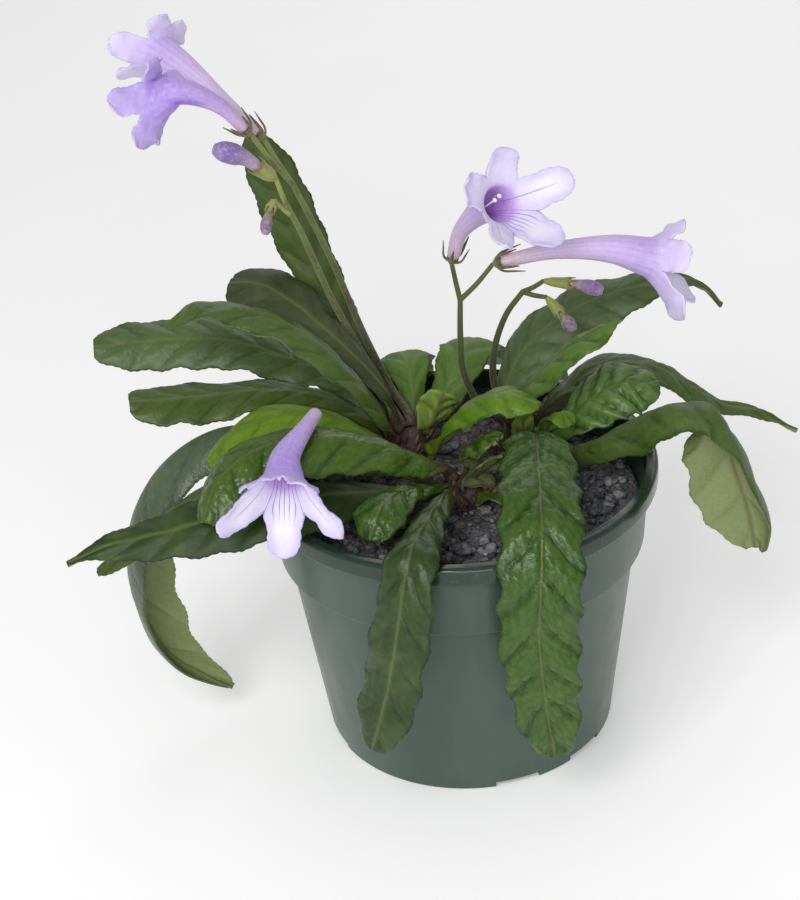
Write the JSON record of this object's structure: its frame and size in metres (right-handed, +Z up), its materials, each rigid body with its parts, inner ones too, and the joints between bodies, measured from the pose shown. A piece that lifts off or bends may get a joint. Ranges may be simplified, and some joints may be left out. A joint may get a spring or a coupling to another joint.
{
  "type": "potted streptocarpus plant",
  "caption": "Small flowering Cape primrose with crinkled strap leaves and pale lavender trumpet flowers, growing in a round green nursery pot.",
  "frame": {"origin": "bottom centre of the whole plant's bounding box; the pot's foot stands at z = 0", "axes": "+Z up, -Y toward the side that the picture shows, +X to the right of that view"},
  "size_m": [0.1906, 0.1254, 0.1842],
  "materials": {
    "pot": "satin moulded plastic",
    "potting_mix": "coarse and matt",
    "crown": "fibrous",
    "leaf": "crinkled, semi-gloss, paler and duller underneath",
    "young_leaf": "crinkled, semi-gloss",
    "scape": "finely hairy",
    "petal": "satin, translucent",
    "bud": "satin"
  },
  "bodies": {
    "root": {"pot": "pot", "soil": "potting_mix", "crown": "crown", "leaf_left_upright": "leaf", "leaf_left_rear": "leaf", "leaf_left_arching": "leaf", "leaf_left_long": "leaf", "leaf_left_low": "leaf", "leaf_left_young": "young_leaf", "leaf_left_hooked": "leaf", "leaf_left_under": "leaf", "leaf_front_pointed": "leaf", "leaf_front_shiny": "leaf", "leaf_front_small": "leaf", "leaf_front_rim": "leaf", "leaf_front_tiny": "leaf", "leaf_front_blistered": "leaf", "leaf_front_inner": "leaf", "leaf_front_bright": "young_leaf", "leaf_left_striped": "young_leaf", "leaf_rear_left": "leaf", "leaf_rear_right": "leaf", "leaf_right_rear": "leaf", "leaf_right_bright": "leaf", "leaf_right_quilted": "leaf", "leaf_right_long": "leaf", "leaf_right_hanging": "leaf", "leaf_right_small": "young_leaf", "leaf_right_sprout": "young_leaf", "leaf_right_broad": "leaf", "leaf_back_left": "leaf", "leaf_back_middle": "leaf", "scape_left_flowers": "scape", "scape_left_buds": "scape", "scape_middle_flowers": "scape", "scape_middle_buds": "scape", "flower_left_upper": "petal", "flower_left_lower": "petal", "flower_middle_facing": "petal", "flower_middle_side": "petal", "flower_fallen": "petal", "bud_left_large": "bud", "bud_left_small": "bud", "bud_middle_long": "bud", "bud_middle_short": "bud"}
  },
  "joints": []
}
